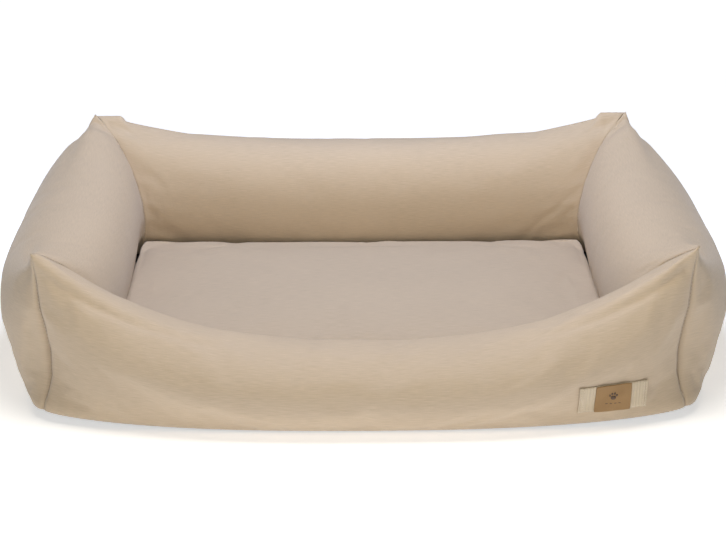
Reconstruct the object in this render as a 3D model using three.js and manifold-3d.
// A pet cushion bed: four stuffed fabric walls sewn to a flat base, with a loose cushion lying between them.
// Millimetres. +Z is up, +X is to the right and -Y is the low entry side.
// The origin is the middle of the underside, on the floor.
import * as THREE from "three";
import { mergeVertices } from "three/addons/utils/BufferGeometryUtils.js";
import Module from "manifold-3d";

const wasm = await Module();
wasm.setup();

// ---- Driving dimensions ----

// The four upright corner seams, which end in pinched tips above the walls.
const CORNER = { x: 375, y: 283, foot: 6, tip: 210 };
// The mitred seam inside each corner, from the tip down to where it meets the cushion.
const INNER_SEAM = { reach: 77, foot: 24, curve: 1.3 };

// Each wall: the corner seams' half spacing along it and their distance from the middle of the bed,
// its height and half thickness halfway along, how far its middle line bows out,
// and exponents for how its top sags and how its sides swell between the corners.
const LONG = { halfLength: CORNER.x, distance: CORNER.y };
const SHORT = { halfLength: CORNER.y, distance: CORNER.x };
const WALLS = {
  front: { ...LONG, height: 91, half: 66, bow: 1, sag: 2.66, fullness: 2.6, roundness: 1.7 },
  right: { ...SHORT, height: 171, half: 75, bow: 0, sag: 2.45, fullness: 3, roundness: 2 },
  back: { ...LONG, height: 170, half: 68, bow: -1, sag: 2.37, fullness: 2.6, roundness: 1.7 },
  left: { ...SHORT, height: 171, half: 75, bow: 0, sag: 2.45, fullness: 3, roundness: 2 },
};
// A wall's cross-section is a superellipse that stands on a flat foot.
const SECTION = { exponent: 2.335, footAngle: -62 };

// Fabric, the slack between it and its filling, and the gaps between separate pieces.
const COVER = 2;
const SLACK = 0.8;
const SEAM_GAP = 0.25;
// How much further the inside of a pinched tip lies below it than the cloth is thick.
const TIP_INSET = 2;
const PIECE_GAP = 0.3;
const COVER_FOOT = 2.3;
const FILL_FOOT = 2.8;

// How finely the walls are divided: along each wall, and up each of its faces.
const STEPS_ALONG = 14;
const STEPS_UP = 8;

// The base, from the floor up: an anti-slip sheet, thin padding and a lining.
const UNDERSIDE = 1.8;
const PADDING = 4;
const LINING = 1.2;
const BASE_INSIDE = { x: 318, y: 230, radius: 40 };

// The cushion: half sizes, the height of its lower and upper halves and the flat band at its seam.
const CUSHION = { x: 295, y: 203, radius: 62, below: 20, above: 37, band: 10, cover: 1.5, slack: 0.5 };

// The sewn label: a ribbed tape with a leather patch, low on the front wall near its right end.
const LABEL_TAPE = { x: 281.5, z: 48, width: 84, height: 35, thickness: 1 };
const LABEL_PATCH = { x: 279, z: 47.5, width: 43, height: 32, thickness: 1.6 };

// The zips, and where each one lies.
const ZIP = { tapeWidth: 8.5, tape: 0.7, coilWidth: 1.5, coilHeight: 1.3, endMargin: 14 };
const SLIDER = { length: 11, wall: 1, play: 0.45, plate: 1 };
const LUG = { length: 8.4, width: 1.6, height: 3.3, bar: 1.1, chamfer: 1.1 };
const PULLER = { length: 17, width: 7, thickness: 1.2, windowLength: 4.4, windowWidth: 3.4, pinRise: 1.25 };
const WALL_ZIP = { length: 300, height: 24 };
const CUSHION_ZIP_LENGTH = 400;

// ---- Colours and finishes ----

function finish(color, roughness, metalness = 0) {
  return new THREE.MeshStandardMaterial({ color, roughness, metalness });
}
const CANVAS = finish(0xcbb79f, 0.9);
const CUSHION_CANVAS = finish(0xcdbcab, 0.9);
const ANTI_SLIP = finish(0x4a4540, 0.95);
const LINING_CLOTH = finish(0xb9a68f, 0.9);
const FIBRE = finish(0xf2efe8, 1);
const FOAM = finish(0xe9e2d0, 1);
const WEBBING = finish(0xe0d3bf, 0.85);
const LEATHER = finish(0xb98f60, 0.6);
const ZIP_TAPE = finish(0xbda98f, 0.85);
const ZIP_METAL = finish(0x9a9184, 0.35, 0.9);

// ---- Geometry helpers ----

const bed = new THREE.Group();

function addMesh(group, name, geometry, material) {
  const mesh = new THREE.Mesh(geometry, material);
  mesh.name = name;
  group.add(mesh);
  return mesh;
}

function geometryOf(triangles) {
  const geometry = new THREE.BufferGeometry();
  geometry.setAttribute("position", new THREE.Float32BufferAttribute(triangles.flat(2), 3));
  geometry.computeVertexNormals();
  return geometry;
}

function quad(a, b, c, d) {
  return [
    [a, b, c],
    [a, c, d],
  ];
}

// The quads of a grid of points, facing the side from which it is seen with its rows running to the right
// and its columns upwards.
function gridFaces(grid) {
  return grid.slice(1).flatMap((next, i) =>
    grid[i].slice(1).flatMap((_, j) => quad(grid[i][j], next[j], next[j + 1], grid[i][j + 1])),
  );
}

function turnedOver(faces) {
  return faces.map((face) => [...face].reverse());
}

// A skin of cloth between an outer and an inner grid of points of the same size.
function clothGeometry(outer, inner) {
  const last = outer.length - 1;
  const top = outer[0].length - 1;
  const faces = [...gridFaces(outer), ...turnedOver(gridFaces(inner))];
  for (let i = 0; i < last; i++) {
    faces.push(...quad(inner[i][0], inner[i + 1][0], outer[i + 1][0], outer[i][0]));
    faces.push(...quad(outer[i][top], outer[i + 1][top], inner[i + 1][top], inner[i][top]));
  }
  for (let j = 0; j < top; j++) {
    faces.push(...quad(outer[0][j], outer[0][j + 1], inner[0][j + 1], inner[0][j]));
    faces.push(...quad(outer[last][j], inner[last][j], inner[last][j + 1], outer[last][j + 1]));
  }
  return geometryOf(faces);
}

// A solid bolster: cross-sections joined along a row, closed underneath and at both ends.
function bolsterGeometry(grid) {
  const last = grid.length - 1;
  const end = grid[0].length - 1;
  const faces = gridFaces(grid.map((row) => [...row, row[0]]));
  for (let j = 0; j < end - 1; j++) {
    faces.push([grid[0][end], grid[0][j], grid[0][j + 1]]);
    faces.push([grid[last][end], grid[last][j + 1], grid[last][j]]);
  }
  return geometryOf(faces);
}

// The walls of a stack of level rings, from the outside of the lowest to the middle of the highest.
function stackFaces(rings) {
  const looped = rings.map((ring) => [...ring, ring[0]]);
  return looped.slice(1).flatMap((upper, k) =>
    looped[k].slice(1).flatMap((_, i) => quad(looped[k][i], looped[k][i + 1], upper[i + 1], upper[i])),
  );
}

function capFaces(ring, facesUp) {
  const centre = [0, 0, ring[0][2]];
  return ring.map((point, i) => {
    const next = ring[(i + 1) % ring.length];
    return facesUp ? [point, next, centre] : [next, point, centre];
  });
}

// A cloth dish that is open underneath.
function dishGeometry(outer, inner) {
  const lining = [...stackFaces(inner), ...capFaces(inner.at(-1), true)];
  return geometryOf([
    ...stackFaces(outer),
    ...capFaces(outer.at(-1), true),
    ...turnedOver(lining),
    ...stackFaces([inner[0], outer[0]]),
  ]);
}

function stackGeometry(rings) {
  return geometryOf([...stackFaces(rings), ...capFaces(rings[0], false), ...capFaces(rings.at(-1), true)]);
}

function extruded(outline, depth, holes = []) {
  const shape = new THREE.Shape(outline.map(([x, y]) => new THREE.Vector2(x, y)));
  shape.holes = holes.map((hole) => new THREE.Path(hole.map(([x, y]) => new THREE.Vector2(x, y))));
  return new THREE.ExtrudeGeometry(shape, { depth, bevelEnabled: false });
}

function solidOf(geometry) {
  const bare = new THREE.BufferGeometry();
  bare.setAttribute("position", geometry.getAttribute("position"));
  const merged = mergeVertices(geometry.index ? bare.setIndex(geometry.index) : bare);
  const vertProperties = merged.getAttribute("position").array;
  return new wasm.Manifold(new wasm.Mesh({ numProp: 3, vertProperties, triVerts: merged.index.array }));
}

function joined(a, b) {
  const result = solidOf(a).add(solidOf(b)).getMesh();
  const geometry = new THREE.BufferGeometry();
  geometry.setAttribute("position", new THREE.BufferAttribute(result.vertProperties, 3));
  geometry.setIndex(new THREE.BufferAttribute(result.triVerts, 1));
  const faceted = geometry.toNonIndexed();
  faceted.computeVertexNormals();
  return faceted;
}

// ---- The walls ----

function signedPower(value, power) {
  return Math.sign(value) * Math.abs(value) ** power;
}

function mix(a, b, share) {
  return a + (b - a) * share;
}

// A point on a wall's surface, inset by a depth, as distance along the wall, outward distance and height.
// along runs from -1 to 1 between the corner seams. up runs from 0 at the outer foot to 1 at the top edge
// and on to 2 at the inner foot.
function wallPoint(wall, along, up, inset, foot) {
  const outside = up <= 1;
  const footAngle = THREE.MathUtils.degToRad(SECTION.footAngle);
  const angle = mix(footAngle, Math.PI / 2, up);
  const across = signedPower(Math.cos(angle), 2 / SECTION.exponent);
  const rise = signedPower(Math.sin(angle), 2 / SECTION.exponent);
  const footRise = signedPower(Math.sin(footAngle), 2 / SECTION.exponent);
  const middle = wall.height / 2;
  const midOut = wall.distance + wall.bow + (wall.half - inset) * across;
  const midZ = rise > 0 ? middle + (middle - inset) * rise : mix(middle, foot, rise / footRise);

  const tip = CORNER.tip - TIP_INSET * inset;
  const down = up - 1;
  const seamIn = outside ? 0 : (INNER_SEAM.reach - 2 * inset) * Math.sin((down * Math.PI) / 2);
  const endOut = wall.distance - inset - seamIn;
  const endZ = outside ? mix(CORNER.foot, tip, up) : mix(tip, INNER_SEAM.foot, down ** INNER_SEAM.curve);

  const swell = (1 - Math.abs(along) ** wall.fullness) ** (1 / wall.roundness);
  const sag = 1 - Math.abs(along) ** wall.sag;
  const halfLength = wall.halfLength + endOut - wall.distance - SEAM_GAP;
  return [along * halfLength, mix(endOut, midOut, swell), mix(endZ, midZ, sag)];
}

// Wall points are drawn in the front wall's place: outwards is -Y there.
function frontPlace([along, out, z]) {
  return [along, -out, z];
}

function wallGrid(wall, inset, foot) {
  const grid = [];
  for (let i = 0; i <= STEPS_ALONG; i++) {
    const along = Math.sin(mix(-Math.PI / 2, Math.PI / 2, i / STEPS_ALONG));
    const row = [];
    for (let j = 0; j <= 2 * STEPS_UP; j++) {
      row.push(frontPlace(wallPoint(wall, along, j / STEPS_UP, inset, foot)));
    }
    grid.push(row);
  }
  return grid;
}

// Each wall is turned from the front wall's place to its own.
const wallGroups = {};
Object.entries(WALLS).forEach(([name, wall], quarterTurns) => {
  const group = new THREE.Group();
  group.rotation.z = (quarterTurns * Math.PI) / 2;
  bed.add(group);
  wallGroups[name] = group;
  const outside = wallGrid(wall, 0, COVER_FOOT);
  const inside = wallGrid(wall, COVER, COVER_FOOT);
  addMesh(group, `${name}_wall_cover`, clothGeometry(outside, inside), CANVAS);
  const stuffing = wallGrid(wall, COVER + SLACK, FILL_FOOT);
  addMesh(group, `${name}_wall_fill`, bolsterGeometry(stuffing), FIBRE);
});

// ---- The base ----

function roundedRing(halfX, halfY, radius, z) {
  const stepsPerCorner = 5;
  const points = [];
  for (let corner = 0; corner < 4; corner++) {
    const centreX = (corner === 0 || corner === 3 ? 1 : -1) * (halfX - radius);
    const centreY = (corner < 2 ? 1 : -1) * (halfY - radius);
    for (let i = 0; i <= stepsPerCorner; i++) {
      const angle = ((corner + i / stepsPerCorner) * Math.PI) / 2;
      points.push([centreX + radius * Math.cos(angle), centreY + radius * Math.sin(angle), z]);
    }
  }
  return points;
}

// The underside follows the line where the four walls stand.
function footOutline() {
  const points = [];
  Object.values(WALLS).forEach((wall, quarterTurns) => {
    const turn = (quarterTurns * Math.PI) / 2;
    for (let i = 0; i < STEPS_ALONG; i++) {
      const along = Math.sin(mix(-Math.PI / 2, Math.PI / 2, i / STEPS_ALONG));
      const [x, y] = frontPlace(wallPoint(wall, along, 0, 0, COVER_FOOT));
      points.push([x * Math.cos(turn) - y * Math.sin(turn), x * Math.sin(turn) + y * Math.cos(turn)]);
    }
  });
  return points;
}

addMesh(bed, "base_underside_sheet", extruded(footOutline(), UNDERSIDE), ANTI_SLIP);

const insideOutline = roundedRing(BASE_INSIDE.x, BASE_INSIDE.y, BASE_INSIDE.radius, 0);
const padding = addMesh(bed, "base_padding", extruded(insideOutline, PADDING), FOAM);
padding.position.z = UNDERSIDE + PIECE_GAP;
const lining = addMesh(bed, "base_lining", extruded(insideOutline, LINING), LINING_CLOTH);
lining.position.z = padding.position.z + PADDING + PIECE_GAP;

// ---- The cushion ----

// One half of the cushion above its seam, from the seam's flat band round to the crowned middle.
// Each step is a share of the way in to the middle and a share of the rise above the band.
const CROWN_STEPS = [
  [0, 0],
  [0.02, 0.32],
  [0.08, 0.56],
  [0.2, 0.74],
  [0.45, 0.91],
  [0.8, 1],
];

function cushionRings(rise, inset, seamGap) {
  const halfX = CUSHION.x - inset;
  const halfY = CUSHION.y - inset;
  const radius = CUSHION.radius - inset;
  const rings = [roundedRing(halfX, halfY, radius, seamGap)];
  for (const [share, lift] of CROWN_STEPS) {
    const reach = share * halfY;
    const left = 1 - share;
    const z = CUSHION.band + (rise - CUSHION.band - inset) * lift;
    rings.push(roundedRing(halfX - reach, halfY - reach, radius * left, z));
  }
  return rings;
}

const cushion = new THREE.Group();
cushion.position.z = lining.position.z + LINING + PIECE_GAP + CUSHION.below;
bed.add(cushion);

function cushionPanel(rise) {
  const seam = PIECE_GAP / 2;
  return dishGeometry(cushionRings(rise, 0, seam), cushionRings(rise, CUSHION.cover, seam));
}
addMesh(cushion, "cushion_top_cover", cushionPanel(CUSHION.above), CUSHION_CANVAS);
addMesh(cushion, "cushion_bottom_cover", cushionPanel(CUSHION.below), CUSHION_CANVAS).rotation.x = Math.PI;

const coreInset = CUSHION.cover + CUSHION.slack;
const coreAbove = cushionRings(CUSHION.above, coreInset, 0).slice(1);
const coreBelow = cushionRings(CUSHION.below, coreInset, 0).slice(1);
const lowered = coreBelow.map((ring) => ring.map(([x, y, z]) => [x, y, -z])).reverse();
addMesh(cushion, "cushion_core", stackGeometry([...lowered, ...coreAbove]), FIBRE);

// ---- The label ----

// How far up the outer face, from 0 to 1, the wall's surface reaches a height. It is found by halving.
function upAtHeight(wall, along, z) {
  const halvings = 30;
  let low = 0;
  let high = 1;
  for (let i = 0; i < halvings; i++) {
    const half = (low + high) / 2;
    if (wallPoint(wall, along, half, 0, COVER_FOOT)[2] < z) low = half;
    else high = half;
  }
  return low;
}

// A point standing off a wall's outer face, and the outward direction there.
function standOff(wall, x, z, distance) {
  const at = (px, pz) => {
    const along = px / wall.halfLength;
    const up = upAtHeight(wall, along, pz);
    return new THREE.Vector3(...frontPlace(wallPoint(wall, along, up, 0, COVER_FOOT)));
  };
  const step = 1;
  const alongWall = at(x + step, z).sub(at(x - step, z));
  const upWall = at(x, z + step).sub(at(x, z - step));
  const normal = alongWall.cross(upWall).normalize();
  return { point: at(x, z).addScaledVector(normal, distance), normal };
}

// A thin rectangle that lies on the front wall's curved face.
function facing(size, standing, stepsX, stepsZ) {
  const grid = (distance) => {
    const rows = [];
    for (let i = 0; i <= stepsX; i++) {
      const x = size.x + size.width * (i / stepsX - 0.5);
      const row = [];
      for (let j = 0; j <= stepsZ; j++) {
        const z = size.z + size.height * (j / stepsZ - 0.5);
        row.push(standOff(WALLS.front, x, z, distance).point.toArray());
      }
      rows.push(row);
    }
    return rows;
  };
  return clothGeometry(grid(standing + size.thickness), grid(standing));
}

addMesh(bed, "label_tape", facing(LABEL_TAPE, PIECE_GAP, 8, 4), WEBBING);
const patchStanding = PIECE_GAP + LABEL_TAPE.thickness + PIECE_GAP;
addMesh(bed, "label_patch", facing(LABEL_PATCH, patchStanding, 6, 4), LEATHER);

// ---- The zips ----

// A zip lies in its own XY plane, runs along X and faces +Z. Half of the coil is on each tape.
function tapeHalf(length, side) {
  const near = PIECE_GAP / 2;
  const far = near + ZIP.tapeWidth;
  const coil = near + ZIP.coilWidth;
  const top = ZIP.tape + ZIP.coilHeight;
  const section = [
    [near, 0],
    [far, 0],
    [far, ZIP.tape],
    [coil, ZIP.tape],
    [coil, top],
    [near, top],
  ];
  const outline = section.map(([y, z]) => [side * y, z]);
  const geometry = extruded(side > 0 ? outline : outline.reverse(), length);
  geometry.rotateX(Math.PI / 2);
  geometry.rotateZ(Math.PI / 2);
  geometry.translate(-length / 2, 0, 0);
  return geometry;
}

// The slider's housing bridges the coil and carries an arched lug for the puller.
function sliderGeometry() {
  const inner = PIECE_GAP / 2 + ZIP.coilWidth + SLIDER.play;
  const outer = inner + SLIDER.wall;
  const bottom = ZIP.tape + SLIDER.play;
  const ceiling = ZIP.tape + ZIP.coilHeight + SLIDER.play;
  const top = ceiling + SLIDER.plate;
  const channel = [
    [outer, bottom],
    [outer, top],
    [-outer, top],
    [-outer, bottom],
    [-inner, bottom],
    [-inner, ceiling],
    [inner, ceiling],
    [inner, bottom],
  ];
  const housing = extruded(channel, SLIDER.length);
  housing.rotateX(Math.PI / 2);
  housing.rotateZ(Math.PI / 2);
  housing.translate(-SLIDER.length / 2, 0, 0);

  const half = LUG.length / 2;
  const sunk = top - SLIDER.plate / 2;
  const crest = top + LUG.height;
  const arch = [
    [-half, sunk],
    [half, sunk],
    [half, crest - LUG.chamfer],
    [half - LUG.chamfer, crest],
    [-half + LUG.chamfer, crest],
    [-half, crest - LUG.chamfer],
  ];
  const inside = half - LUG.bar;
  const eye = [
    [-inside, top],
    [-inside, crest - LUG.bar],
    [inside, crest - LUG.bar],
    [inside, top],
  ];
  const lug = extruded(arch, LUG.width, [eye]);
  lug.rotateX(Math.PI / 2);
  lug.translate(0, LUG.width / 2, 0);
  return { geometry: joined(housing, lug), top };
}

// The puller: a tab whose end bar passes through the lug. It turns about Y and lies along +X.
function pullerGeometry() {
  const half = PULLER.width / 2;
  const back = PULLER.thickness / 2;
  const narrow = half * 0.7;
  const outline = [
    [-back, -half],
    [PULLER.length * 0.45, -half],
    [PULLER.length * 0.6, -narrow],
    [PULLER.length - narrow, -narrow],
    [PULLER.length, 0],
    [PULLER.length - narrow, narrow],
    [PULLER.length * 0.6, narrow],
    [PULLER.length * 0.45, half],
    [-back, half],
  ];
  const windowHalf = PULLER.windowWidth / 2;
  const eye = [
    [back, -windowHalf],
    [back, windowHalf],
    [back + PULLER.windowLength, windowHalf],
    [back + PULLER.windowLength, -windowHalf],
  ];
  const geometry = extruded(outline, PULLER.thickness, [eye]);
  geometry.translate(0, 0, -PULLER.thickness / 2);
  return geometry;
}

function addZip(group, name, length) {
  addMesh(group, `${name}_tape_upper`, tapeHalf(length, 1), ZIP_TAPE);
  addMesh(group, `${name}_tape_lower`, tapeHalf(length, -1), ZIP_TAPE);
  const closedEnd = -length / 2 + ZIP.endMargin;
  const { geometry, top } = sliderGeometry();
  const slider = addMesh(group, `${name}_slider`, geometry, ZIP_METAL);
  slider.position.x = closedEnd;
  const puller = addMesh(group, `${name}_puller`, pullerGeometry(), ZIP_METAL);
  puller.position.set(closedEnd, 0, top + PULLER.pinRise);
}

// One zip closes the wall cover, low on the back wall, and lies flat on the cloth there.
const wallZip = new THREE.Group();
const seat = standOff(WALLS.back, 0, WALL_ZIP.height, PIECE_GAP);
wallZip.position.copy(seat.point);
wallZip.rotation.x = Math.PI / 2 + Math.asin(-seat.normal.z);
wallGroups.back.add(wallZip);
addZip(wallZip, "wall_zip", WALL_ZIP.length);

// The other closes the cushion cover, along its rear seam.
const cushionZip = new THREE.Group();
cushionZip.position.y = CUSHION.y + PIECE_GAP;
cushionZip.rotation.set(Math.PI / 2, 0, Math.PI, "ZXY");
cushion.add(cushionZip);
addZip(cushionZip, "cushion_zip", CUSHION_ZIP_LENGTH);

export default bed;
